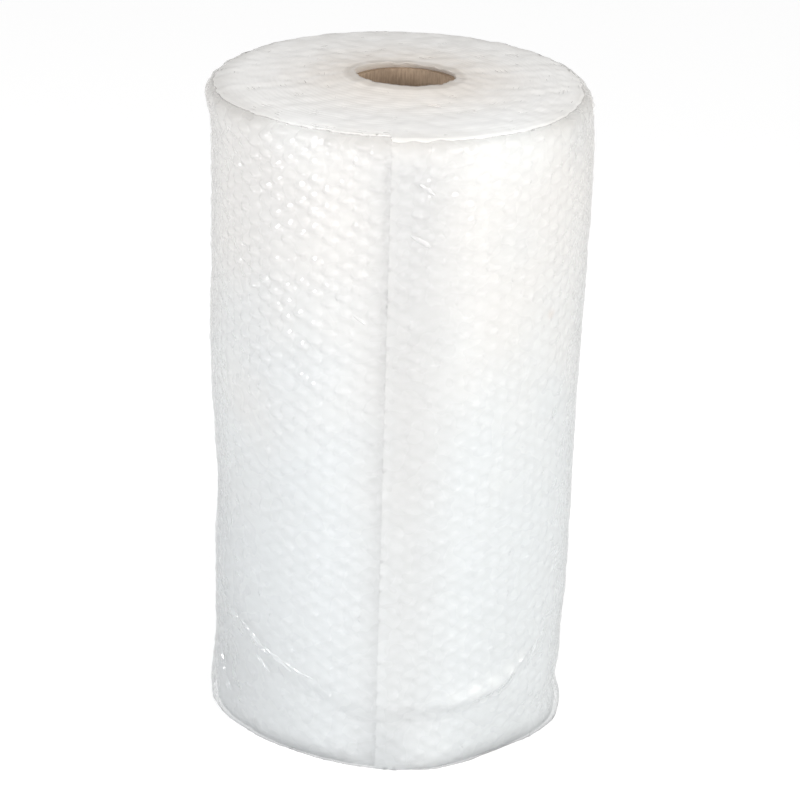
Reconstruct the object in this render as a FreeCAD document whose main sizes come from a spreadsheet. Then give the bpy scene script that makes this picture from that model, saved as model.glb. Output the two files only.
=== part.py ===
import FreeCAD, Part
import math
import os

import Sketcher
from FreeCAD import Vector

# A roll of air bubble film wound on a cardboard tube and standing on its end.
# Millimetres, +Z up, origin on the roll's axis at the foot. The free end of the film is at the front, -Y.
# Seen from above the film winds outwards clockwise. It bends only between its columns of bubbles, which
# run up the roll, so each turn is a run of flat facets one column wide. The turns lie looser at the head
# than at the foot, so every facet leans out a little and the roll is wider at its head.

# alias, value, meaning
DIMENSIONS = (
    ("film_width", "500", "width of the film, which is the height of the roll on its end"),
    ("film_length", "14000", "length of the film on the roll"),
    ("film_thickness", "3.4", "backing film and bubbles, squeezed a little by the winding"),
    ("bubble_pitch", "12", "from one bubble to each of its six neighbours"),
    ("foot_slack", "0.22", "air between one turn and the next at the foot"),
    ("head_slack", "0.51", "air between one turn and the next at the head"),
    ("free_end_angle", "267", "direction of the film's outer end, anticlockwise from +X"),
    ("head_round", "8.5", "rounding of the outer turns' edges at the head"),
    ("settling_angle", "60", "past the free end, how far a turn takes to settle into that rounding"),
    ("core_bore", "76", "inside diameter of the cardboard tube"),
    ("core_wall", "4", "wall of the cardboard tube"),
    ("core_recess", "3", "depth of each end of the tube inside the film's edge"),
    ("core_clearance", "0.1", "air between the tube and the first turn"),
)

FULL_TURN = 2 * math.pi
COLUMN_PER_PITCH = math.sqrt(3) / 2  # spacing of the columns in a close-packed field of bubbles

doc = FreeCAD.newDocument("bubble_film_roll")


def make_sheet():
    """The spreadsheet of driving dimensions, one to a row."""
    sheet = doc.addObject("Spreadsheet::Sheet", "Sizes")
    for row, (alias, value, meaning) in enumerate(DIMENSIONS, 1):
        sheet.set(f"A{row}", alias)
        sheet.set(f"B{row}", value)
        sheet.set(f"C{row}", meaning)
        sheet.setAlias(f"B{row}", alias)
    doc.recompute()
    return sheet


def make_core():
    """The cardboard tube: a ring sketched on the floor plane, padded and lifted by its recess."""
    body = doc.addObject("PartDesign::Body", "Core")
    body.Label = "core_tube"
    floor = next(plane for plane in body.Origin.OriginFeatures if plane.Role == "XY_Plane")
    ring = body.newObject("Sketcher::SketchObject", "CoreRing")
    ring.AttachmentSupport = [(floor, "")]
    ring.MapMode = "FlatFace"
    radii = {
        "bore_radius": "Sizes.core_bore / 2",
        "outer_radius": "Sizes.core_bore / 2 + Sizes.core_wall",
    }
    for name, expression in radii.items():
        circle = ring.addGeometry(Part.Circle(Vector(), Vector(0, 0, 1), 1), False)
        ring.addConstraint(Sketcher.Constraint("Coincident", circle, 3, -1, 1))
        ring.renameConstraint(ring.addConstraint(Sketcher.Constraint("Radius", circle, 1)), name)
        ring.setExpression(f"Constraints.{name}", expression)
    tube = body.newObject("PartDesign::Pad", "CoreTube")
    tube.Profile = ring
    tube.setExpression("Length", "Sizes.film_width - 2 * Sizes.core_recess")
    body.Tip = tube
    body.setExpression(".Placement.Base.z", "Sizes.core_recess")


class Winding:
    """The film's course round the tube, worked out from the sheet."""

    def __init__(self, sheet):
        self.width = sheet.get("film_width")
        self.thickness = sheet.get("film_thickness")
        self.slack = {"foot": sheet.get("foot_slack"), "head": sheet.get("head_slack")}
        self.start = sheet.get("core_bore") / 2 + sheet.get("core_wall") + sheet.get("core_clearance")
        self.round = sheet.get("head_round")
        self.settling = math.radians(sheet.get("settling_angle"))
        length = sheet.get("film_length")
        columns = round(length / (sheet.get("bubble_pitch") * COLUMN_PER_PITCH))
        self.bends = [self.angle_at(length * column / columns) for column in range(columns + 1)]
        self.total = self.bends[-1]
        self.outset = math.radians(sheet.get("free_end_angle")) + self.total

    def growth(self, end):
        """Radius that the film gains for each radian wound, at the foot or the head."""
        return (self.thickness + self.slack[end]) / FULL_TURN

    def angle_at(self, length):
        """Angle wound by this length of film at the foot, on an Archimedean spiral."""
        growth = self.growth("foot")
        return (math.sqrt(self.start**2 + 2 * growth * length) - self.start) / growth

    def facets(self, end, outer):
        """Direction and distance from the axis of each facet of the film's inner or outer wall."""
        for low, high in zip(self.bends, self.bends[1:]):
            middle = (low + high) / 2
            distance = self.start + self.growth(end) * middle
            if outer:
                distance = (distance + self.thickness) * math.cos((high - low) / 2)
            yield self.outset - middle, distance

    def corners(self, end, outer):
        """Where neighbouring facets meet, with the wall's two ends, in plan."""
        facets = list(self.facets(end, outer))
        first, last = facets[0], facets[-1]
        yield point_on(first, self.outset)
        for facet, following in zip(facets, facets[1:]):
            yield meeting(facet, following)
        yield point_on(last, self.outset - self.total)

    def drop(self, bend, outer):
        """How far the head's edge lies below the roll's height, where the outer turns are rounded."""
        turns_left = (self.total - bend) / FULL_TURN
        turns_over = math.floor(turns_left)
        past_free_end = (turns_over + 1 - turns_left) * FULL_TURN
        turns_over += max(0, 1 - past_free_end / self.settling)
        depth = turns_over * self.growth("head") * FULL_TURN + (0 if outer else self.thickness)
        return self.round - math.sqrt(self.round**2 - max(0, self.round - depth) ** 2)

    def wall(self, outer):
        """The wall's foot points and head points, with the head's rounding."""
        foot, head = [], []
        for bend, low, high in zip(self.bends, self.corners("foot", outer), self.corners("head", outer)):
            rise = 1 - self.drop(bend, outer) / self.width
            foot.append(Vector(*low, 0))
            head.append(Vector(*low, 0) + (Vector(*high, self.width) - Vector(*low, 0)) * rise)
        return foot, head


def point_on(facet, angle):
    """Point of a facet's plane in this direction from the axis, in plan."""
    direction, distance = facet
    radius = distance / math.cos(angle - direction)
    return radius * math.cos(angle), radius * math.sin(angle)


def meeting(facet, other):
    """Point where two facets' planes meet, in plan."""
    (angle_a, far_a), (angle_b, far_b) = facet, other
    turn = math.sin(angle_b - angle_a)
    x = (far_a * math.sin(angle_b) - far_b * math.sin(angle_a)) / turn
    y = (far_b * math.cos(angle_a) - far_a * math.cos(angle_b)) / turn
    return x, y


def face(*points):
    """A flat face with these corners."""
    return Part.Face(Part.makePolygon([*points, points[0]]))


def make_film(sheet):
    """The film, all its turns in one solid: two walls of facets, closed along both edges and both ends."""
    winding = Winding(sheet)
    inner_foot, inner_head = winding.wall(outer=False)
    outer_foot, outer_head = winding.wall(outer=True)
    around_foot = inner_foot + outer_foot[::-1]
    around_head = inner_head + outer_head[::-1]
    faces = [face(*around_foot)]
    for place in range(len(around_foot)):
        before = place - 1
        faces.append(face(around_foot[before], around_foot[place], around_head[place], around_head[before]))

    # Along the head the covered turns share one flat face, and the rounded ones have two to a facet
    flat = next(place for place, point in enumerate(outer_head) if point.z < winding.width) - 1
    faces.append(face(*inner_head[: flat + 1], *outer_head[flat::-1]))
    for place in range(flat, len(inner_head) - 1):
        a, b, c, d = inner_head[place], inner_head[place + 1], outer_head[place + 1], outer_head[place]
        faces += [face(a, b, c), face(a, c, d)]

    shell = Part.makeShell(faces)
    shell.sewShape()
    film = doc.addObject("Part::Feature", "Film")
    film.Label = "bubble_film"
    film.Shape = Part.makeSolid(shell)
    film.Placement = FreeCAD.Placement()


def check(shapes):
    """Stops the build if an object failed or a sub-part isn't one valid solid."""
    for item in doc.Objects:
        if {"Invalid", "Error"} & set(item.State):
            raise RuntimeError(f"{item.Label} failed: {item.State}")
    for name, shape in shapes.items():
        if shape.isNull() or not shape.isValid() or len(shape.Solids) != 1:
            raise RuntimeError(f"{name} isn't one valid solid")


sheet = make_sheet()
make_core()
make_film(sheet)
doc.recompute()

shapes = {label: doc.getObjectsByLabel(label)[0].Shape for label in ("bubble_film", "core_tube")}
check(shapes)
os.makedirs("parts", exist_ok=True)
for name, shape in shapes.items():
    shape.exportStep(f"parts/{name}.step")
    print(name, "volume", round(shape.Volume), "box", shape.BoundBox)
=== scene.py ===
import math

import bpy
import numpy as np
from mathutils import Matrix, Vector


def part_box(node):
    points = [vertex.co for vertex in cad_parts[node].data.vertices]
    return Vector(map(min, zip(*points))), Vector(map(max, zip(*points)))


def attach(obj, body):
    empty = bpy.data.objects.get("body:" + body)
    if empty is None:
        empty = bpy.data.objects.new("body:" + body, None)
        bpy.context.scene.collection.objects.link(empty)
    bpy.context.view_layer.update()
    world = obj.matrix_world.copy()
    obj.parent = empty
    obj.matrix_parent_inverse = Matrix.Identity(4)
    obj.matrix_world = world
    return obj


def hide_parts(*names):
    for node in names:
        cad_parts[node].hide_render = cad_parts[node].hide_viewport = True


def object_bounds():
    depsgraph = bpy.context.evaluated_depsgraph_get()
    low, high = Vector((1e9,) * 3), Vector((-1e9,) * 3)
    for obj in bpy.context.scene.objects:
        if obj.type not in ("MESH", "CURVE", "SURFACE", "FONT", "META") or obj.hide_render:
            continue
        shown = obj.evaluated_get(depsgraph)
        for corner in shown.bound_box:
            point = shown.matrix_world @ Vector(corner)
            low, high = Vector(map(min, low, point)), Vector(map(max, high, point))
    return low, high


# A roll of air bubble film on a cardboard tube, standing on its end.
# The film is a flat backing film, which faces out, and a second film whose bubbles stand inwards from it.
# A point of the film is given by its distance along it from the tube, its height up the roll, and how far
# it stands off the film's inner face. The winding lays that point round the tube as in the solid model.
# The two outer turns are whole. Of the turns further in only the edges are made, at the head and the foot,
# round a packed mass that covers them a little at the head and lies inside them at the foot.

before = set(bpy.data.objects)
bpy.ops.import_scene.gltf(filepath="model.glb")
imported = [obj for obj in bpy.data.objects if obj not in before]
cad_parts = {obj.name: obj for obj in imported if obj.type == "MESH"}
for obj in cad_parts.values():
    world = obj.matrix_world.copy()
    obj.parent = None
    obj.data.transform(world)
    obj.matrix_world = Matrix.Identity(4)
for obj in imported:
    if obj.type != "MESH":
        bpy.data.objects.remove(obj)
CAD_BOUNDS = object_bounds()

MM = 0.001
TURN = 2 * math.pi

# The film, as it is wound in the solid model
FILM_LENGTH = 14.0
FILM_THICKNESS = 3.4 * MM
FOOT_SLACK = 0.22 * MM
HEAD_SLACK = 0.51 * MM
CORE_CLEARANCE = 0.1 * MM
FREE_END_ANGLE = math.radians(267)
ROLL_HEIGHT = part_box("bubble_film")[1][2]
CORE_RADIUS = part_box("core_tube")[1][0]

# The bubbles' lattice, two rings of a bubble's dome with the share of its height at each, the gap between the
# two films, and how close two cells' points lie when they are one point
BUBBLE_PITCH = 12 * MM
COLUMN_SPACING = BUBBLE_PITCH * math.sqrt(3) / 2
CELL_CORNER = BUBBLE_PITCH / math.sqrt(3)
CROWN_RADIUS = 2.9 * MM
SHOULDER_RADIUS = 4.6 * MM
CROWN_SHARE = 0.88
SHOULDER_SHARE = 0.5
FILM_GAP = 0.15 * MM
SAME_POINT = 0.01 * MM

# How one bubble differs from the next: how full it is, how often one has gone flat and what is left of it,
# and how far its crown is shifted and tilted
SEED = 7
FULLNESS = 0.88
FULLNESS_SPREAD = 0.12
LEAST_FULLNESS = 0.45
FLAT_CHANCE = 0.04
FLAT_FULLNESS = 0.5
CROWN_SHIFT = 0.55 * MM
CROWN_TILT = 0.16

# The bulge that a bubble gives the backing film, which is drawn tight round the roll: as against the bubble,
# it reaches further along the film and less far up it
BACKING_BULGE = 1.6 * MM
BULGE_LENGTH = 1.25
BULGE_HEIGHT = 0.72

# Bubbles cut through near the head and foot have gone flat, to this share of their height at the cut, and
# the film is pressed flat towards its free end
CUT_MARGIN = 5 * MM
LEAST_THICKNESS = 0.12
END_MARGIN = 70 * MM

# The strips that are made of the turns further in, and the steps of their backing film
HEAD_STRIP = 12 * MM
FOOT_STRIP = 6 * MM
EDGE_STEPS = 3600
EDGE_STEPS_UP = 3

# The crinkles of the film's edges, up and out, and the dents round the head's rim
EDGE_CRINKLE = 0.3 * MM
EDGE_WAVE = 0.4 * MM
EDGE_FADE = 6 * MM
RIM_DENT = 0.9 * MM
RIM_DENT_LEVEL = 494 * MM
RIM_DENT_REACH = 9 * MM

# The rounding of the head's rim: the length of film that bends in, the angle at the outermost edge, and how
# many turns in it fades over. Past the free end a turn comes out from under one layer over the settling angle
HEAD_ROUND = 12 * MM
SETTLING_ANGLE = math.radians(60)
RIM_CURL = 1.2
CURL_FADE = 5.0
LEAST_CURL = 0.001

# The turns near the tube stand up out of the roll, most on one side, and the nearest lean over the tube's end
HOLE_RISE = 6 * MM
HOLE_RISE_REACH = 100 * MM
HOLE_RISE_SIDE = math.radians(245)
HOLE_RISE_SHARE = 0.42
HOLE_LEAN = 6 * MM
HOLE_LEAN_REACH = 4 * MM

# The waves of the slack outer turns, and how many turns in all that stands out of true has faded away
BROAD_WAVE = 0.8 * MM
FINE_WAVE = 0.3 * MM
LOOSE_TURNS = 12

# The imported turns: the steps of their mesh, the power that crowds the head's rings towards the tube, and the
# room left to the tube, to the film outside them and to the outermost turn at the rim
PACKED_STEPS_ROUND = 360
PACKED_STEPS_ACROSS = 40
PACKED_STEPS_UP = 24
LIP_CROWDING = 1.3
TUBE_ROOM = 0.2 * MM
SIDE_ROOM = 0.3 * MM
RIM_ROOM = 0.25 * MM

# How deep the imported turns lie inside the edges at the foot, how far they cover them at the head and the
# least share of that, at the rim, the dents in the head, and how far under it their side turns out to the rim
FOOT_DEPTH = 1.1 * MM
HEAD_COVER = 0.6 * MM
RIM_COVER = 0.35
HEAD_DENT = 0.36 * MM
UNDER_RIM = 16 * MM

# The lip that leans over the tube's end: the level where it starts, and how uneven its lean is
LIP_LEVEL = 498 * MM
LIP_CRINKLE = 0.18

# Where the side stands out of true: direction and height of the middle, reach round and up, amount outwards
SWELLINGS = (
    (192, 500, 30, 22, 6.0),
    (188, 290, 40, 70, 3.2),
    (188, 185, 40, 40, -2.2),
    (190, 10, 25, 30, 4.0),
    (0, 280, 45, 350, -2.0),
    (350, 0, 30, 10, 2.5),
    (355, 22, 30, 14, -3.5),
    (350, 62, 30, 26, -1.5),
    (2, 500, 28, 28, -4.5),
    (55, 500, 30, 28, -1.5),
    (110, 500, 40, 28, 2.0),
    (238, 0, 28, 30, -3.0),
    (311, 0, 22, 30, -6.5),
    (280, 0, 22, 25, 5.0),
)

# Where the film is slack and its bubbles swell the backing most, as above but with a share of the bulge
SLACK_EVERYWHERE = 0.3
SLACK_PLACES = ((226, 400, 36, 130, 1.3), (305, 430, 45, 90, 0.4), (268, 470, 60, 30, 0.4))

# The line round the front of the foot under which the film is drawn in, as directions and heights, how far it
# is drawn in and over what height, and the degrees over which this fades at both ends of the line
DRAWN_LINE = (
    (185, 102),
    (200, 100),
    (216, 93),
    (228, 80),
    (239, 70),
    (262, 52),
    (290, 54),
    (308, 62),
    (319, 78),
    (332, 92),
)
DRAWN_IN = 3.0 * MM
DRAWN_REACH = 14 * MM
DRAWN_FADE = 20

# The puff of film along that line at the right: how far it stands out, its reach up and down, and its middle
# and reach round the side in degrees
PUFF = 3.0 * MM
PUFF_REACH = 5.5 * MM
PUFF_MIDDLE = 303
PUFF_LENGTH = 14

# Raised folds of the outer film: directions and heights along each, then how far it stands out and its width
FOLDS = (
    ((193, 200, 207), (110, 105, 100), 1.0, 0.8),
    ((205, 211, 217), (101, 95, 91), 1.6, 1.0),
    ((214, 220, 226), (96, 89, 81), 1.6, 1.1),
    ((219, 225, 229), (86, 79, 77), 1.2, 0.8),
    ((226, 233, 238), (83, 76, 70), 1.4, 1.1),
    ((233, 240, 246), (78, 72, 69), 1.0, 0.9),
    ((221, 224, 228), (71, 67, 61), 1.0, 0.8),
    ((197, 199, 201), (52, 45, 40), 1.0, 0.8),
    ((199, 202, 206), (41, 32, 23), 1.3, 0.9),
    ((319, 315, 311), (79, 74, 68), 1.0, 0.9),
    ((325, 322), (87, 66), 1.0, 0.9),
    ((275, 279.5), (467, 459), 1.0, 0.9),
    ((273, 279), (429, 420), 1.0, 0.9),
    ((257, 261), (366, 359), 1.0, 0.9),
    ((352, 357), (484, 499), 2.0, 1.1),
)

# A fold's mesh reaches this many widths to each side, where it has sunk into the film. Its ends taper, and
# its height and width are uneven
FOLD_STEPS = 48
FOLD_STEPS_ACROSS = 12
FOLD_REACH = 2
FOLD_SINK = 0.3 * MM
FOLD_TAPER = 0.7
FOLD_ROUGHNESS = 0.7
FOLD_WIDTH_CHANGE = 0.25
FOLD_LEAST_WIDTH = 0.1 * MM


class Winding:
    """Where the film lies round the tube."""

    def __init__(self):
        self.start = CORE_RADIUS + CORE_CLEARANCE
        self.growth = (FILM_THICKNESS + FOOT_SLACK) / TURN
        self.columns = round(FILM_LENGTH / COLUMN_SPACING)
        self.spacing = FILM_LENGTH / self.columns
        self.total = self.wound(FILM_LENGTH)

    def wound(self, length):
        """Angle wound by this length of film."""
        return (np.sqrt(self.start**2 + 2 * self.growth * length) - self.start) / self.growth

    def length_to(self, wound):
        """Length of film wound by this angle."""
        return self.start * wound + self.growth * wound**2 / 2

    def direction_at(self, wound):
        """Direction from the axis, which turns clockwise as the film is wound on."""
        return FREE_END_ANGLE + self.total - wound

    def radius_at(self, wound, height):
        """Distance of the film's inner face from the axis."""
        slack = FOOT_SLACK + (HEAD_SLACK - FOOT_SLACK) * height / ROLL_HEIGHT
        return self.start + wound * (FILM_THICKNESS + slack) / TURN

    def turns_over(self, wound):
        """How many turns lie over this one, easing down just past the free end."""
        left = (self.total - wound) / TURN
        whole = np.floor(left)
        past = (whole + 1 - left) * TURN
        return np.maximum(whole, 0) + np.clip(1 - past / SETTLING_ANGLE, 0, 1)

    def place(self, along, height, off):
        """Radius, direction and height in space for points of the film."""
        wound = self.wound(along)
        inward, settled = head_curl(self.turns_over(wound), height)
        radius = self.radius_at(wound, height) + off - inward
        near_head = np.clip((height - ROLL_HEIGHT) / HEAD_STRIP + 1, 0, 1)
        direction = self.direction_at(wound)
        return radius - near_head * hole_lean(radius), direction, settled + hole_rise(radius, direction)


def head_curl(turns_over, height):
    """How far the head's rim bends in at this height, and the height it is brought to."""
    curl = np.maximum(RIM_CURL * np.exp(-turns_over / CURL_FADE), LEAST_CURL)
    bend_radius = HEAD_ROUND / curl
    foot_of_bend = ROLL_HEIGHT - HEAD_ROUND
    bend = np.clip((height - foot_of_bend) / HEAD_ROUND, 0, 1) * curl
    settled = np.where(height > foot_of_bend, foot_of_bend + bend_radius * np.sin(bend), height)
    return bend_radius * (1 - np.cos(bend)), settled


def hole_rise(radius, direction):
    """How far the turns stand up out of the roll near the tube, most in front and least behind."""
    nearness = np.clip((HOLE_RISE_REACH - radius) / (HOLE_RISE_REACH - CORE_RADIUS), 0, 1)
    on_this_side = 1 - HOLE_RISE_SHARE + HOLE_RISE_SHARE * np.cos(direction - HOLE_RISE_SIDE)
    return HOLE_RISE * nearness**2 * on_this_side


def hole_lean(radius):
    """How far the turns' edges lean in over the end of the tube."""
    return HOLE_LEAN * np.exp((CORE_RADIUS - radius) / HOLE_LEAN_REACH)


def ripple(seed, waves, shortest, longest):
    """A smooth random field in space: a sum of sines between two wavelengths, about -1 to 1."""
    chance = np.random.default_rng(seed)
    length = shortest * (longest / shortest) ** chance.uniform(0, 1, waves)
    heading = chance.normal(size=(waves, 3))
    heading *= (TURN / (length * np.linalg.norm(heading, axis=1)))[:, None]
    phase = chance.uniform(0, TURN, waves)
    return lambda points: np.sin(points @ heading.T + phase).sum(axis=1) / math.sqrt(waves)


broad_slack = ripple(SEED, 9, 120 * MM, 400 * MM)
fine_slack = ripple(SEED + 1, 14, 22 * MM, 70 * MM)
crinkle_up = ripple(SEED + 2, 20, 5 * MM, 40 * MM)
crinkle_out = ripple(SEED + 3, 20, 5 * MM, 40 * MM)
rim_dents = ripple(SEED + 4, 18, 11 * MM, 32 * MM)


def in_space(radius, direction, height):
    """Points in space, as rows."""
    return np.stack([radius * np.cos(direction), radius * np.sin(direction), height], 1)


def angle_between(direction, degrees):
    """Signed angle from a direction given in degrees, in degrees."""
    return np.mod(np.degrees(direction) - degrees + 180, 360) - 180


def sum_of_bumps(bumps, direction, height):
    """Sum of smooth bumps on the side, each with its middle, its reach round and up, and its amount."""
    total = 0
    for middle, level, reach_round, reach_up, amount in bumps:
        round_share = angle_between(direction, middle) / reach_round
        up_share = (height / MM - level) / reach_up
        total += amount * np.exp(-(round_share**2) - up_share**2)
    return total


def slackness(direction, height):
    """Share of the full bulge that the bubbles give the backing film."""
    return SLACK_EVERYWHERE + sum_of_bumps(SLACK_PLACES, direction, height)


def drape(direction, height):
    """How far the film stands out, or in if negative, about the line round the front of the foot: it is drawn
    in under the line, and puffed along it at the right."""
    angles, levels = (np.array(column) for column in zip(*DRAWN_LINE))
    degrees = np.mod(np.degrees(direction), 360)
    below = np.interp(degrees, angles, levels) * MM - height
    from_left = np.clip((degrees - angles[0]) / DRAWN_FADE, 0, 1)
    from_right = np.clip((angles[-1] - degrees) / DRAWN_FADE, 0, 1)
    at_right = np.exp(-(((degrees - PUFF_MIDDLE) / PUFF_LENGTH) ** 2) - (below / PUFF_REACH) ** 2)
    return PUFF * at_right - DRAWN_IN * from_left * from_right * np.clip(below / DRAWN_REACH, 0, 1)


def out_of_true(radius, direction, height, turns_over):
    """How far the outer turns stand out from a true winding. The innermost ones are tight on the tube."""
    true = in_space(radius, direction, height)
    bumps = BROAD_WAVE * broad_slack(true) + FINE_WAVE * fine_slack(true)
    bumps += RIM_DENT * np.exp(-np.abs(RIM_DENT_LEVEL - height) / RIM_DENT_REACH) * rim_dents(true)
    bumps += MM * sum_of_bumps(SWELLINGS, direction, height) + drape(direction, height)
    return np.clip(1 - turns_over / LOOSE_TURNS, 0, 1) * bumps


def lay(winding, along, up, off):
    """Points in space for points of the film, out of true as the real roll is."""
    radius, direction, height = winding.place(along, up, off)
    true = in_space(radius, direction, height)
    turns_over = winding.turns_over(winding.wound(along))
    radius = radius + out_of_true(radius, direction, height, turns_over)
    near_edge = np.exp(-(ROLL_HEIGHT - up) / EDGE_FADE) + np.exp(-up / EDGE_FADE)
    radius += EDGE_WAVE * near_edge * crinkle_out(true)
    height = np.maximum(height + EDGE_CRINKLE * near_edge * crinkle_up(true), 0)
    return in_space(radius, direction, height)


def near_cuts(up):
    """Share of a bubble's height left near the film's cut edges, where cut bubbles have gone flat."""
    over_foot = np.clip(up / CUT_MARGIN, LEAST_THICKNESS, 1)
    under_head = np.clip((ROLL_HEIGHT - up) / CUT_MARGIN, LEAST_THICKNESS, 1)
    return over_foot * under_head


def near_end(along):
    """Share of the film's thickness left where it is pressed flat towards its free end."""
    return np.clip((FILM_LENGTH - along) / END_MARGIN, 0, 1)


class Bubbles:
    """The field of bubbles: a close-packed lattice, each bubble with its own fullness, lean and shift."""

    def __init__(self, winding):
        self.spacing = winding.spacing
        self.rows = math.ceil(ROLL_HEIGHT / BUBBLE_PITCH) + 2
        shape = (winding.columns + 2, self.rows)
        chance = np.random.default_rng(SEED)
        self.fullness = np.clip(chance.normal(FULLNESS, FULLNESS_SPREAD, shape), LEAST_FULLNESS, 1)
        self.fullness *= np.where(chance.uniform(0, 1, shape) < FLAT_CHANCE, FLAT_FULLNESS, 1)
        self.lean = chance.uniform(0, TURN, shape)
        self.tilt = chance.normal(0, CROWN_TILT, shape)
        self.shift = chance.normal(0, CROWN_SHIFT, (2, *shape))

    def centre(self, column, row):
        """Distance along and height of a bubble's middle. Every second column is half a pitch up."""
        return column * self.spacing, (row - 0.5 + 0.5 * (column % 2)) * BUBBLE_PITCH

    def near(self, lengths, heights):
        """Column and row of each bubble near this stretch of the film."""
        first, last = (length / self.spacing for length in lengths)
        columns = range(max(0, math.floor(first)), math.ceil(last) + 1)
        lattice = np.meshgrid(columns, range(self.rows), indexing="ij")
        column, row = (grid.ravel() for grid in lattice)
        level = self.centre(column, row)[1]
        wanted = (level > heights[0] - BUBBLE_PITCH) & (level < heights[1] + BUBBLE_PITCH)
        return column[wanted, None], row[wanted, None]


def bubble_cell():
    """One bubble's cell: points as (along, up, share of the bubble's height), and triangles."""
    points = [(0.0, 0.0, 1.0)]
    rings = ((6, 30, CROWN_RADIUS, CROWN_SHARE), (12, 0, SHOULDER_RADIUS, SHOULDER_SHARE))
    for count, first, radius, share in rings:
        for place in range(count):
            angle = math.radians(first + 360 / count * place)
            points.append((radius * math.cos(angle), radius * math.sin(angle), share))
    for place in range(12):
        angle = math.radians(30 * place)
        reach = BUBBLE_PITCH / 2 if place % 2 else CELL_CORNER
        points.append((reach * math.cos(angle), reach * math.sin(angle), 0.0))

    crown, shoulder, rim = 1, 7, 19
    faces = []
    for place in range(6):
        here, after = crown + place, crown + (place + 1) % 6
        left, middle, right = (shoulder + (2 * place + step) % 12 for step in (0, 1, 2))
        faces += [(0, here, after), (here, left, middle), (here, middle, right), (here, right, after)]
    for place in range(12):
        after = (place + 1) % 12
        faces.append((shoulder + place, rim + place, rim + after))
        faces.append((shoulder + place, rim + after, shoulder + after))
    return np.array(points), np.array(faces)


def joined_cells(along, up, share, corners):
    """The same points and triangles, with the points that neighbouring cells have in common made one."""
    keys = np.round(np.stack([along, up], 1) / SAME_POINT).astype(np.int64)
    _, kept, merged = np.unique(keys, axis=0, return_index=True, return_inverse=True)
    return along[kept], up[kept], share[kept], merged.ravel()[corners]


def bubble_field(bubbles, lengths, heights, stretch):
    """The domes of the bubbles near this stretch of the film, stretched along it and up it by two factors:
    distance along, height and share of a bubble's height for each point, and triangles."""
    column, row = bubbles.near(lengths, heights)
    middle_along, middle_up = bubbles.centre(column, row)
    cell, faces = bubble_cell()
    across, rise, share = cell.T
    lean = bubbles.lean[column, row]
    slope = bubbles.tilt[column, row] * (across * np.cos(lean) + rise * np.sin(lean)) / SHOULDER_RADIUS
    shift_along, shift_up = bubbles.shift[:, column, row]
    longer, lower = (np.where(share > 0, factor, 1) for factor in stretch)
    along = middle_along + across * longer * bubbles.spacing / COLUMN_SPACING + shift_along * share
    up = middle_up + rise * lower + shift_up * share
    share = bubbles.fullness[column, row] * share * (1 + slope)
    corners = (np.arange(len(column))[:, None, None] * len(cell) + faces[None]).reshape(-1, 3)
    return joined_cells(along.ravel(), up.ravel(), share.ravel(), corners)


def bubbled_film(winding, bubbles, lengths, heights, backing=False):
    """The film with the bubbles, or the backing film that they swell, between two lengths along it and two
    heights: points in space and triangles. It is cut straight across its bubbles."""
    stretch = (BULGE_LENGTH, BULGE_HEIGHT) if backing else (1, 1)
    along, up, share, corners = bubble_field(bubbles, lengths, heights, stretch)
    within = (along > lengths[0]) & (along < lengths[1])
    corners = corners[within[corners].any(axis=1)]
    up = np.clip(up, *heights)
    along = np.clip(along, *lengths)
    off = FILM_THICKNESS * near_end(along)
    if backing:
        direction = winding.direction_at(winding.wound(along))
        tight = np.clip((FILM_LENGTH - along) / BUBBLE_PITCH, 0, 1)
        off += BACKING_BULGE * tight * slackness(direction, up) * near_cuts(up) * share**2
    else:
        off -= FILM_GAP + FILM_THICKNESS * near_end(along) * near_cuts(up) * share
    return lay(winding, along, up, off), corners


def grid_faces(steps_first, steps_second, closed=False):
    """Quads of a grid of points, its second direction running fastest."""
    steps = np.meshgrid(range(steps_first), range(steps_second), indexing="ij")
    first, second = (grid.ravel() for grid in steps)
    row = steps_second + 1
    after = (first + 1) % steps_first if closed else first + 1
    here, there = first * row + second, after * row + second
    return np.stack([here, there, there + 1, here + 1], 1)


def backing_strip(winding, lengths, heights, steps_along, steps_up):
    """A strip of flat backing film as a grid: points in space and faces."""
    along = np.linspace(*lengths, steps_along + 1)
    up = np.linspace(*heights, steps_up + 1)
    along, up = (grid.ravel() for grid in np.meshgrid(along, up, indexing="ij"))
    return lay(winding, along, up, np.full_like(along, FILM_THICKNESS)), grid_faces(steps_along, steps_up)


def fold(winding, directions, heights, depth, width, seed):
    """A raised fold of the outer film along a line on its side: points in space and faces."""
    share = np.linspace(0, 1, FOLD_STEPS + 1)
    stations = np.linspace(0, 1, len(directions))
    direction = np.radians(np.interp(share, stations, directions))
    up = np.interp(share, stations, heights) * MM
    along = winding.length_to(winding.total - np.mod(direction - FREE_END_ANGLE, TURN))
    wander = ripple(seed, 6, 6 * MM, 20 * MM)
    rough = wander(in_space(winding.radius_at(winding.total, up), direction, up))

    # Its width is laid out square to its line
    turn_along, turn_up = np.gradient(along), np.gradient(up)
    size = np.hypot(turn_along, turn_up)
    across = np.linspace(-FOLD_REACH, FOLD_REACH, FOLD_STEPS_ACROSS + 1)
    taper = np.sin(np.pi * share) ** FOLD_TAPER
    reach = width * MM * (1 + FOLD_WIDTH_CHANGE * rough) * taper + FOLD_LEAST_WIDTH
    along = along[:, None] - across * (reach * turn_up / size)[:, None]
    up = up[:, None] + across * (reach * turn_along / size)[:, None]
    lift = depth * MM * (taper * (1 + FOLD_ROUGHNESS * rough))[:, None]
    off = FILM_THICKNESS + lift * np.exp(-(across**2)) - FOLD_SINK * (across / FOLD_REACH) ** 2
    return lay(winding, along.ravel(), up.ravel(), off.ravel()), grid_faces(FOLD_STEPS, FOLD_STEPS_ACROSS)


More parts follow.
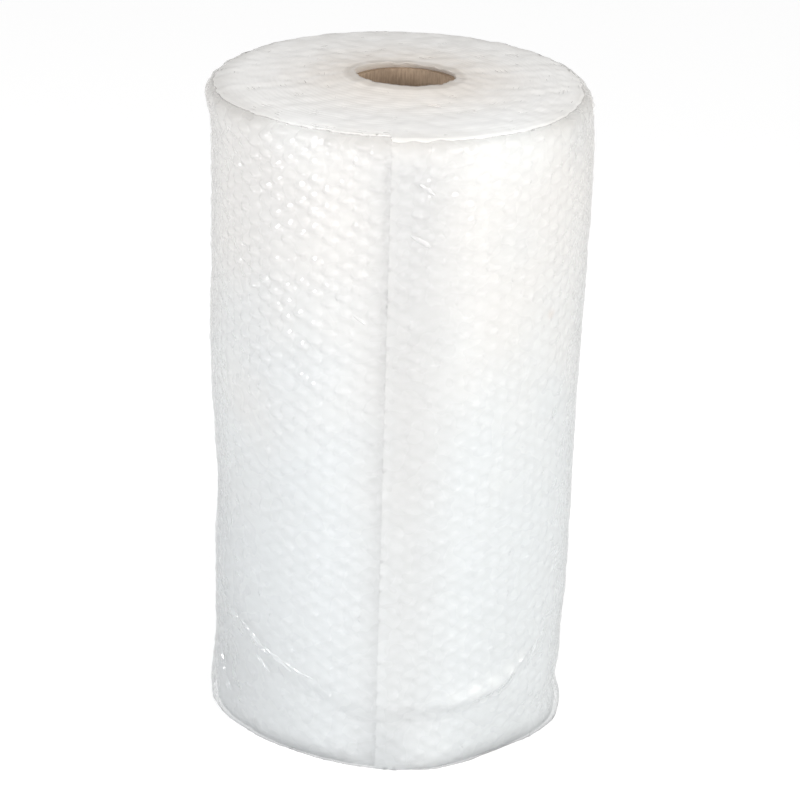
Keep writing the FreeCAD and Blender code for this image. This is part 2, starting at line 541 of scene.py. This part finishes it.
def packed_head_ring(radius, rim, direction):
    """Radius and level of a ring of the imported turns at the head, given its radius before the rounding."""
    turns_over = (rim - radius) / (FILM_THICKNESS + HEAD_SLACK)
    inward, level = head_curl(turns_over, ROLL_HEIGHT)
    cover = HEAD_COVER + HEAD_DENT * rim_dents(in_space(radius, direction, level))
    level = level + cover * np.clip(turns_over / 2, RIM_COVER, 1) + hole_rise(radius, direction)
    lean = hole_lean(radius) * (1 + LIP_CRINKLE * crinkle_out(in_space(radius, direction, level)))
    return radius - inward - lean + out_of_true(radius, direction, level, turns_over), level


def packed_turns(winding):
    """The mass of turns between the film's edges: a closed ring as points in space and faces. It lies inside
    the edges at the foot and inside the second turn up the side, and follows the rim at the head."""
    past_end = TURN * np.arange(PACKED_STEPS_ROUND) / PACKED_STEPS_ROUND
    direction = FREE_END_ANGLE + past_end
    wound = winding.total - past_end - 2 * TURN
    inner = winding.start + TUBE_ROOM

    def side_at(level):
        return winding.radius_at(wound, level) + FILM_THICKNESS - SIDE_ROOM

    rings = []
    for share in np.linspace(0, 1, PACKED_STEPS_ACROSS + 1):
        radius = inner + (side_at(0) - inner) * share
        rings.append((radius, FOOT_DEPTH + hole_rise(radius, direction)))
    for height in np.linspace(FOOT_DEPTH, ROLL_HEIGHT - UNDER_RIM, PACKED_STEPS_UP + 1)[1:]:
        radius, level = side_at(height), np.full(PACKED_STEPS_ROUND, height)
        rings.append((radius + out_of_true(radius, direction, level, 2.0), level))
    rim = side_at(ROLL_HEIGHT) + 2 * (FILM_THICKNESS + HEAD_SLACK) - RIM_ROOM
    for share in np.linspace(1, 0, PACKED_STEPS_ACROSS + 1) ** LIP_CROWDING:
        rings.append(packed_head_ring(inner + (rim - inner) * share, rim, direction))
    rings.append((np.full(PACKED_STEPS_ROUND, inner), np.full(PACKED_STEPS_ROUND, LIP_LEVEL)))
    rings.append(rings[0])
    points = np.stack([in_space(radius, direction, level) for radius, level in rings], 1).reshape(-1, 3)
    return points, grid_faces(PACKED_STEPS_ROUND, len(rings) - 1, closed=True)


def mesh_piece(name, parts, material):
    """A smooth shaded piece of these (points, faces) parts, which rides on the roll in the film's place."""
    points, faces, used = [], [], 0
    for part_points, part_faces in parts:
        points += part_points.tolist()
        faces += (part_faces + used).tolist()
        used += len(part_points)
    mesh = bpy.data.meshes.new(name)
    mesh.from_pydata(points, [], faces)
    mesh.validate()
    mesh.polygons.foreach_set("use_smooth", [True] * len(mesh.polygons))
    mesh.materials.append(material)
    piece = bpy.data.objects.new(name, mesh)
    bpy.context.collection.objects.link(piece)
    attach(piece, "root")
    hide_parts("bubble_film")


class Nodes:
    """Adds and joins nodes of one material or world."""

    def __init__(self, owner):
        owner.use_nodes = True
        self.tree = owner.node_tree

    def join(self, value, socket):
        """Sets an input to a value, or joins another node's socket to it."""
        if isinstance(value, bpy.types.NodeSocket):
            self.tree.links.new(value, socket)
        else:
            socket.default_value = value

    def add(self, kind, inputs=None, **settings):
        """A new node's first output. Its inputs are given as values or as other nodes' sockets."""
        node = self.tree.nodes.new(kind)
        for name, value in settings.items():
            setattr(node, name, value)
        for name, value in (inputs or {}).items():
            self.join(value, node.inputs[name])
        return node.outputs[0]

    def outputs(self, kind, inputs=None, **settings):
        """All outputs of a new node."""
        return self.add(kind, inputs, **settings).node.outputs

    def split(self, place):
        """The three coordinates of a place."""
        return self.outputs("ShaderNodeSeparateXYZ", {"Vector": place})

    def math(self, operation, *values):
        """A Math node's result."""
        return self.add("ShaderNodeMath", dict(enumerate(values)), operation=operation)

    def noise(self, place, scale, detail=3.0):
        """Noise at this many to the metre, between 0 and 1."""
        return self.add("ShaderNodeTexNoise", {"Vector": place, "Scale": scale, "Detail": detail})

    def drawn_out(self, place, share):
        """A place with its height scaled down to this share, so that what is drawn there is taller."""
        return self.add("ShaderNodeMapping", {"Vector": place, "Scale": (1, 1, share)})

    def range(self, value, low, high, to_low=0.0, to_high=1.0):
        """A value from one range carried to another, smoothly and held at its ends."""
        limits = {"Value": value, "From Min": low, "From Max": high, "To Min": to_low, "To Max": to_high}
        return self.add("ShaderNodeMapRange", limits, interpolation_type="SMOOTHSTEP")

    def mix(self, share, first, second):
        """A colour between two others."""
        node = self.tree.nodes.new("ShaderNodeMix")
        node.data_type = "RGBA"
        for place, value in ((0, share), (6, first), (7, second)):
            self.join(value, node.inputs[place])
        return node.outputs[2]

    def from_axis(self, across):
        """Distance from the roll's axis of a place given as its coordinates."""
        squares = [self.math("POWER", across[place], 2.0) for place in (0, 1)]
        return self.math("SQRT", self.math("ADD", *squares))

    def turned(self, across):
        """Direction from the roll's axis of a place given as its coordinates, as a share of a turn."""
        return self.math("DIVIDE", self.math("ARCTAN2", across[1], across[0]), TURN)


# The film's white: cool low down and warm high up, with clouds that shift the change up and down
COOL_WHITE = (0.86, 0.885, 0.895, 1)
WARM_WHITE = (0.90, 0.888, 0.87, 1)
WARM_FROM = 150 * MM
WARM_TO = 500 * MM
CLOUDS = 14
CLOUD_SHIFT = 250 * MM

# The tube's brown shows through the turns near it, most in the wall of the hole, which also has painted shade
BOARD_TINT = (0.62, 0.50, 0.38, 1)
TINT_REACH = 110 * MM
TINT_FULL = 36 * MM
TINT_STRENGTH = 0.37
HOLE_WALL_TINT_AND_SHADE = (0.36, 0.31, 0.26, 1)
HOLE_WALL_REACH = 47 * MM
HOLE_WALL_STRENGTH = 0.4

# Painted shade: the head is darker round its rim and towards its back, and the foot near its edge,
# darkest at its very edge as a painted contact shadow
PAINTED_RIM_SHADE = (0.70, 0.685, 0.66, 1)
RIM_SHADE_DEPTH = 18 * MM
RIM_SHADE_REACH = 25 * MM
BACK_SHADE = 0.5
PAINTED_FOOT_SHADE = (0.64, 0.66, 0.67, 1)
FOOT_SHADE_DEPTH = 14 * MM
PAINTED_FOOT_SHADOW = (0.42, 0.43, 0.44, 1)
FOOT_EDGE_FROM = 3.5 * MM
FOOT_EDGE_TO = 0.5 * MM

# Painted shade in a band by the film's free end: the band's middle and its reach to each side, where it begins
# and is full towards the front, its share at the foot, and the heights where it is full and begins to end
PAINTED_END_SHADE = (0.765, 0.765, 0.76, 1)
END_SHADE_PLACE = 8 * MM
END_SHADE_REACH = 55 * MM
END_SHADE_FRONT = (-90 * MM, -120 * MM)
END_SHADE_LEAST = 0.35
END_SHADE_FULL = 400 * MM
END_SHADE_TOP = 470 * MM

# Marks on the side: direction, height and reach of each, its colour and strength. They are a stain, a speck,
# the creases right and left at the foot, whitened and with painted highlights on them, two painted highlights
# on the head's rim, and painted shade low at the left, at the front of the foot and at the right under the rim
STAIN_COLOUR = (0.80, 0.62, 0.52, 1)
SPECK_COLOUR = (0.12, 0.10, 0.09, 1)
# Partly the whitening of creased film, partly painted highlight
PALE_CREASE_AND_HIGHLIGHT = (0.97, 0.985, 0.985, 1)
# Painted shade
PAINTED_SHADE_COLOUR = (0.70, 0.72, 0.73, 1)
MARKS = (
    (322.5, 352, 7, STAIN_COLOUR, 0.5),
    (231.0, 168, 1.2, SPECK_COLOUR, 0.8),
    (292, 60, 10, PALE_CREASE_AND_HIGHLIGHT, 0.7),
    (299, 62, 11, PALE_CREASE_AND_HIGHLIGHT, 0.9),
    (306, 67, 10, PALE_CREASE_AND_HIGHLIGHT, 1.0),
    (312, 73, 9, PALE_CREASE_AND_HIGHLIGHT, 1.0),
    (317, 79, 8, PALE_CREASE_AND_HIGHLIGHT, 0.8),
    (214, 95, 6, PALE_CREASE_AND_HIGHLIGHT, 0.4),
    (221, 88, 6, PALE_CREASE_AND_HIGHLIGHT, 0.6),
    (228, 81, 6, PALE_CREASE_AND_HIGHLIGHT, 0.6),
    (236, 74, 6, PALE_CREASE_AND_HIGHLIGHT, 0.4),
    (304, 500, 75, PALE_CREASE_AND_HIGHLIGHT, 0.6),
    (236, 500, 50, PALE_CREASE_AND_HIGHLIGHT, 0.5),
    (196, 40, 110, PAINTED_SHADE_COLOUR, 0.75),
    (196, 150, 90, PAINTED_SHADE_COLOUR, 0.4),
    (270, 12, 40, PAINTED_SHADE_COLOUR, 0.9),
    (337, 478, 40, PAINTED_SHADE_COLOUR, 0.4),
)

# The side on which the marks lie: its radius at the foot, and how much more that is at the head
SIDE_RADIUS = 138 * MM
SIDE_SPREAD = 6 * MM


def side_point(direction, height):
    """Point on the roll's side in this direction, in degrees, at this height."""
    radius = SIDE_RADIUS + SIDE_SPREAD * height / ROLL_HEIGHT
    angle = math.radians(direction)
    return radius * math.cos(angle), radius * math.sin(angle), height


def warmth(nodes, place, height):
    """How warm the white is."""
    clouds = nodes.math("SUBTRACT", nodes.noise(place, CLOUDS, 1), 0.5)
    level = nodes.math("ADD", height, nodes.math("MULTIPLY", clouds, CLOUD_SHIFT))
    return nodes.range(level, WARM_FROM, WARM_TO)


def painted_head_shade(nodes, across, radius):
    """How much painted shade the head has: round its rim and towards its back."""
    outermost = nodes.range(radius, CAD_BOUNDS[1][0] - RIM_SHADE_REACH, CAD_BOUNDS[1][0])
    behind = nodes.range(across[1], 0.0, CAD_BOUNDS[1][1], 0.0, BACK_SHADE)
    in_head = nodes.range(across[2], ROLL_HEIGHT - RIM_SHADE_DEPTH, ROLL_HEIGHT)
    return nodes.math("MULTIPLY", nodes.math("MAXIMUM", outermost, behind), in_head)


def painted_end_shade(nodes, across):
    """How much of the painted shade in the band by the free end there is."""
    aside = nodes.math("ABSOLUTE", nodes.math("SUBTRACT", across[0], END_SHADE_PLACE))
    in_front = nodes.range(across[1], *END_SHADE_FRONT)
    in_band = nodes.math("MULTIPLY", nodes.range(aside, END_SHADE_REACH, 0.0), in_front)
    rising = nodes.range(across[2], 0.0, END_SHADE_FULL, END_SHADE_LEAST, 1.0)
    under_head = nodes.range(across[2], ROLL_HEIGHT, END_SHADE_TOP)
    return nodes.math("MULTIPLY", in_band, nodes.math("MULTIPLY", rising, under_head))


def marked(nodes, place, white, direction, height, reach, colour, strength):
    """The film's colour with one of the marks on it."""
    middle = side_point(direction, height * MM)
    offset = nodes.add("ShaderNodeVectorMath", {0: place, 1: middle}, operation="SUBTRACT")
    away = nodes.outputs("ShaderNodeVectorMath", {0: offset}, operation="LENGTH")["Value"]
    return nodes.mix(nodes.range(away, reach * MM, 0, 0, strength), white, colour)


def film_colour(nodes, place):
    """White, warmer at the head and browner near the tube, with painted shade at both rims, in the hole's wall
    and by the free end, and the side's marks, some of them painted highlights and painted shade.
    """
    across = nodes.split(place)
    height = across[2]
    radius = nodes.from_axis(across)
    white = nodes.mix(warmth(nodes, place, height), COOL_WHITE, WARM_WHITE)
    # Painted shade round the head's rim and towards its back
    white = nodes.mix(painted_head_shade(nodes, across, radius), white, PAINTED_RIM_SHADE)
    # Painted shade at the foot, and a painted contact shadow at its very edge
    white = nodes.mix(nodes.range(height, FOOT_SHADE_DEPTH, 0.0), white, PAINTED_FOOT_SHADE)
    white = nodes.mix(nodes.range(height, FOOT_EDGE_FROM, FOOT_EDGE_TO), white, PAINTED_FOOT_SHADOW)
    near_tube = nodes.range(radius, TINT_REACH, TINT_FULL, 0.0, TINT_STRENGTH)
    white = nodes.mix(near_tube, white, BOARD_TINT)
    # The tube's brown seen through the film, with painted shade, in the wall of the hole
    in_wall = nodes.range(radius, HOLE_WALL_REACH, CORE_RADIUS, 0.0, HOLE_WALL_STRENGTH)
    white = nodes.mix(in_wall, white, HOLE_WALL_TINT_AND_SHADE)
    # Painted shade in a band by the free end
    white = nodes.mix(painted_end_shade(nodes, across), white, PAINTED_END_SHADE)
    for mark in MARKS:
        white = marked(nodes, place, white, *mark)
    return white


# The film's finish: how many worn places and creases there are to the metre, how much taller than wide the
# creases are drawn, what a noise mostly lies between, and how far wear changes the roughness
WEAR = 60
CREASES = 150
CREASE_SCALE = 0.5
NOISE_SPAN = (0.3, 0.7)
LEAST_ROUGHNESS = 0.6
MOST_ROUGHNESS = 1.6

# The clear coat. It is duller at the head from this depth on, and at the foot between these heights
COAT_ROUGHNESS = 0.06
DULL_RIM = 20 * MM
DULL_RIM_SHINE = 0.25
DULL_FOOT_FROM = 3 * MM
DULL_FOOT_TO = 10 * MM


def film_material(name, cover, roughness, wrinkle, gloss=1.5, coat=1.0):
    """Glossy milky film. cover is the share of light that it stops, wrinkle the depth of its fine creases,
    gloss the index of its clear coat, high where so little is covered that it would lose its shine, and coat
    that coat's weight. Both rims are duller."""
    material = bpy.data.materials.new(name)
    nodes = Nodes(material)
    surface = nodes.tree.nodes["Principled BSDF"].inputs
    place = nodes.outputs("ShaderNodeTexCoord")["Object"]
    height = nodes.split(place)[2]
    nodes.join(film_colour(nodes, place), surface["Base Color"])
    wear = nodes.noise(place, WEAR, 1)
    worn = nodes.range(wear, *NOISE_SPAN, roughness * LEAST_ROUGHNESS, roughness * MOST_ROUGHNESS)
    nodes.join(worn, surface["Roughness"])
    creases = nodes.noise(nodes.drawn_out(place, CREASE_SCALE), CREASES, 1.5)
    nodes.join(nodes.add("ShaderNodeBump", {"Height": creases, "Distance": wrinkle}), surface["Normal"])
    head_from, head_to = ROLL_HEIGHT - DULL_RIM, ROLL_HEIGHT - HEAD_ROUND / 2
    head_shine = nodes.range(height, head_from, head_to, coat, DULL_RIM_SHINE * coat)
    foot_shine = nodes.range(height, DULL_FOOT_FROM, DULL_FOOT_TO)
    nodes.join(nodes.math("MULTIPLY", head_shine, foot_shine), surface["Coat Weight"])
    surface["Alpha"].default_value = cover
    surface["Coat Roughness"].default_value = COAT_ROUGHNESS
    surface["Coat IOR"].default_value = gloss
    return material


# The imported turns' surface: the depth of the line at each turn, and the grain that breaks it up
TURN_LINE = 0.04 * MM
GRAIN = 200
GRAIN_STRENGTH = 2.0


def packed_material():
    """Many layers of film seen as one milky mass, with a line at each turn."""
    material = film_material("film_packed", cover=1.0, roughness=0.5, wrinkle=0.6 * MM, coat=0.2)
    nodes = Nodes(material)
    place = nodes.outputs("ShaderNodeTexCoord")["Object"]
    across = nodes.split(place)
    turns_out = nodes.math("DIVIDE", nodes.from_axis(across), FILM_THICKNESS + HEAD_SLACK)
    count = nodes.math("ADD", turns_out, nodes.turned(across))
    wave = nodes.math("SINE", nodes.math("MULTIPLY", count, TURN))
    grain = nodes.math("MULTIPLY", nodes.noise(place, GRAIN), GRAIN_STRENGTH)
    rough = nodes.math("ADD", wave, grain)
    bump = nodes.add("ShaderNodeBump", {"Height": rough, "Distance": TURN_LINE})
    nodes.join(bump, nodes.tree.nodes["Principled BSDF"].inputs["Normal"])
    return material


# The cardboard: its colours and the seams of its wound strips, which climb this far in a turn
BOARD_DARK = (0.30, 0.215, 0.15, 1)
BOARD_PALE = (0.46, 0.345, 0.245, 1)
BOARD_SEAM = (0.20, 0.14, 0.095, 1)
STRIP_RISE = 140 * MM
SEAM_SHARE = 0.012
SEAM_STRENGTH = 0.7
SEAM_DEPTH = 2.0

# Its fibres and blotches: how many to the metre, how each counts towards the colour and between what values,
# and the roughness and bumps that the fibres give
FIBRES = 700
FIBRE_SCALE = 0.2
FIBRE_WEIGHT = 0.6
BLOTCHES = 40
BLOTCH_WEIGHT = 0.4
BLEND_SPAN = (0.35, 0.65)
BOARD_ROUGHNESS = (0.75, 0.95)
BOARD_BUMP = 0.15 * MM


def cardboard_material():
    """Brown board wound from strips on a slant, with fibres and flecks."""
    material = bpy.data.materials.new("cardboard")
    nodes = Nodes(material)
    surface = nodes.tree.nodes["Principled BSDF"].inputs
    place = nodes.outputs("ShaderNodeTexCoord")["Object"]
    across = nodes.split(place)
    climbed = nodes.math("ADD", nodes.math("DIVIDE", across[2], STRIP_RISE), nodes.turned(across))
    from_seam = nodes.math("ABSOLUTE", nodes.math("SUBTRACT", nodes.math("FRACT", climbed), 0.5))
    seam = nodes.range(from_seam, SEAM_SHARE, 0.0)
    fibres = nodes.noise(nodes.drawn_out(place, FIBRE_SCALE), FIBRES, 5)
    blotches = nodes.noise(place, BLOTCHES, 3)
    fine = nodes.math("MULTIPLY", fibres, FIBRE_WEIGHT)
    both = nodes.math("ADD", fine, nodes.math("MULTIPLY", blotches, BLOTCH_WEIGHT))
    colour = nodes.mix(nodes.range(both, *BLEND_SPAN), BOARD_DARK, BOARD_PALE)
    colour = nodes.mix(nodes.math("MULTIPLY", seam, SEAM_STRENGTH), colour, BOARD_SEAM)
    nodes.join(colour, surface["Base Color"])
    nodes.join(nodes.range(fibres, *NOISE_SPAN, *BOARD_ROUGHNESS), surface["Roughness"])
    height = nodes.math("SUBTRACT", fibres, nodes.math("MULTIPLY", seam, SEAM_DEPTH))
    nodes.join(nodes.add("ShaderNodeBump", {"Height": height, "Distance": BOARD_BUMP}), surface["Normal"])
    return material


def make_roll():
    """The film's pieces and the tube's finish."""
    winding = Winding()
    bubbles = Bubbles(winding)
    one, two = (winding.length_to(winding.total - turns * TURN) for turns in (1, 2))
    outer, second, inner = (one, FILM_LENGTH), (two, one), (0, two)
    whole = (0, ROLL_HEIGHT)
    head, foot = (ROLL_HEIGHT - HEAD_STRIP, ROLL_HEIGHT), (0, FOOT_STRIP)

    skin = film_material("film_backing", cover=0.42, roughness=0.25, wrinkle=0.6 * MM, gloss=2.0)
    creased = film_material("film_folds", cover=0.4, roughness=0.25, wrinkle=0.2 * MM, gloss=2.0)
    outer_bubbles = film_material("film_bubbles", cover=0.3, roughness=0.35, wrinkle=0.4 * MM)
    deeper = film_material("film_second_turn", cover=1.0, roughness=0.4, wrinkle=0.4 * MM)
    edges = film_material("film_edges", cover=0.5, roughness=0.4, wrinkle=0.3 * MM, coat=0.5)

    mesh_piece("outer_backing", [bubbled_film(winding, bubbles, outer, whole, backing=True)], skin)
    folds = [fold(winding, *line, SEED + 10 + place) for place, line in enumerate(FOLDS)]
    mesh_piece("outer_folds", folds, creased)
    mesh_piece("outer_bubbles", [bubbled_film(winding, bubbles, outer, whole)], outer_bubbles)
    mesh_piece("second_turn", [bubbled_film(winding, bubbles, second, whole)], deeper)
    for name, heights in (("head_edges", head), ("foot_edges", foot)):
        backing = backing_strip(winding, inner, heights, EDGE_STEPS, EDGE_STEPS_UP)
        mesh_piece(name, [bubbled_film(winding, bubbles, inner, heights), backing], edges)
    mesh_piece("packed_turns", [packed_turns(winding)], packed_material())

    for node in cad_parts.values():
        if node.name.startswith("core_tube"):
            node.data.materials.clear()
            node.data.materials.append(cardboard_material())


# The camera, from the fit to the photograph's outline
CAMERA_PLACE = Vector((3.7 * MM, -2.274, 1.174))
CAMERA_PITCH = math.radians(22.19)
CAMERA_ROLL = math.radians(1.77)
CAMERA_LENS = 145.0
CAMERA_SENSOR = 36.0


def make_camera():
    """The photograph's viewpoint: looking along +Y and down, and rolled a little anticlockwise."""
    data = bpy.data.cameras.new("camera")
    data.lens = CAMERA_LENS
    data.sensor_width = CAMERA_SENSOR
    camera = bpy.data.objects.new("camera", data)
    bpy.context.collection.objects.link(camera)
    right = Vector((1, 0, 0))
    forward = Vector((0, math.cos(CAMERA_PITCH), -math.sin(CAMERA_PITCH)))
    up = right.cross(forward)
    side = right * math.cos(CAMERA_ROLL) + up * math.sin(CAMERA_ROLL)
    top = up * math.cos(CAMERA_ROLL) - right * math.sin(CAMERA_ROLL)
    turned = Matrix((side, top, -forward)).transposed().to_4x4()
    camera.matrix_world = Matrix.Translation(CAMERA_PLACE) @ turned
    bpy.context.scene.camera = camera


# The lamps: name, place, size, power and colour of each. All are turned to the middle of the roll
LAMPS = (
    ("key", (1.5, -1.6, 1.15), 0.9, 31.5, (1.0, 0.99, 0.97)),
    ("front", (-0.3, -2.6, 0.6), 1.6, 10, (1.0, 1.0, 1.0)),
    ("fill", (-1.9, -1.4, 1.25), 0.5, 26, (0.99, 0.99, 1.0)),
)
LAMP_TARGET = Vector((0, 0, 0.25))

# The surround's light at the horizon and overhead, and the floor
SURROUND_LOW = 0.69
SURROUND_HIGH = 0.48
FLOOR_REACH = 6.0
FLOOR_COLOUR = (0.55, 0.55, 0.55, 1)
FLOOR_ROUGHNESS = 0.9
FLOOR_GLOW = (0.6, 0.6, 0.6, 1)
BLACK = (0, 0, 0, 1)


def area_light(name, place, size, power, colour):
    """A square soft light at place, turned to the middle of the roll."""
    data = bpy.data.lights.new(name, "AREA")
    data.size = size
    data.energy = power
    data.color = colour
    light = bpy.data.objects.new(name, data)
    light.location = place
    light.rotation_euler = (LAMP_TARGET - Vector(place)).to_track_quat("-Z", "Y").to_euler()
    bpy.context.collection.objects.link(light)


def seen_directly(nodes):
    """1 for rays from the camera, and for reflected and transmitted ones."""
    rays = nodes.outputs("ShaderNodeLightPath")
    glossy = nodes.math("MAXIMUM", rays["Is Camera Ray"], rays["Is Glossy Ray"])
    return nodes.math("MAXIMUM", glossy, rays["Is Transmission Ray"])


def make_surround():
    """A pale surround, dimmer overhead, that is plain white where it is seen."""
    world = bpy.data.worlds.new("studio")
    bpy.context.scene.world = world
    nodes = Nodes(world)
    climb = nodes.split(nodes.outputs("ShaderNodeTexCoord")["Generated"])[2]
    light = nodes.range(climb, 0.0, 1.0, SURROUND_LOW, SURROUND_HIGH)
    unseen = nodes.math("SUBTRACT", 1.0, seen_directly(nodes))
    dimmed = nodes.math("MULTIPLY", unseen, nodes.math("SUBTRACT", 1.0, light))
    background = nodes.tree.nodes["Background"].inputs
    background["Color"].default_value = (1, 1, 1, 1)
    nodes.join(nodes.math("SUBTRACT", 1.0, dimmed), background["Strength"])


def make_floor():
    """A pale floor that keeps a soft shadow and otherwise shows as white as the surround."""
    mesh = bpy.data.meshes.new("floor")
    corners = ((-1, -1), (1, -1), (1, 1), (-1, 1))
    mesh.from_pydata([(x * FLOOR_REACH, y * FLOOR_REACH, 0) for x, y in corners], [], [(0, 1, 2, 3)])
    floor = bpy.data.objects.new("floor", mesh)
    bpy.context.collection.objects.link(floor)
    material = bpy.data.materials.new("floor")
    nodes = Nodes(material)
    surface = nodes.tree.nodes["Principled BSDF"].inputs
    surface["Base Color"].default_value = FLOOR_COLOUR
    surface["Roughness"].default_value = FLOOR_ROUGHNESS
    nodes.join(nodes.mix(seen_directly(nodes), BLACK, FLOOR_GLOW), surface["Emission Color"])
    surface["Emission Strength"].default_value = 1.0
    mesh.materials.append(material)


def make_studio():
    """Soft light from the upper right, the front and the upper left, with a pale surround and floor."""
    for lamp in LAMPS:
        area_light(*lamp)
    make_surround()
    make_floor()


bpy.context.scene.view_settings.view_transform = "Standard"
make_roll()
make_camera()
make_studio()
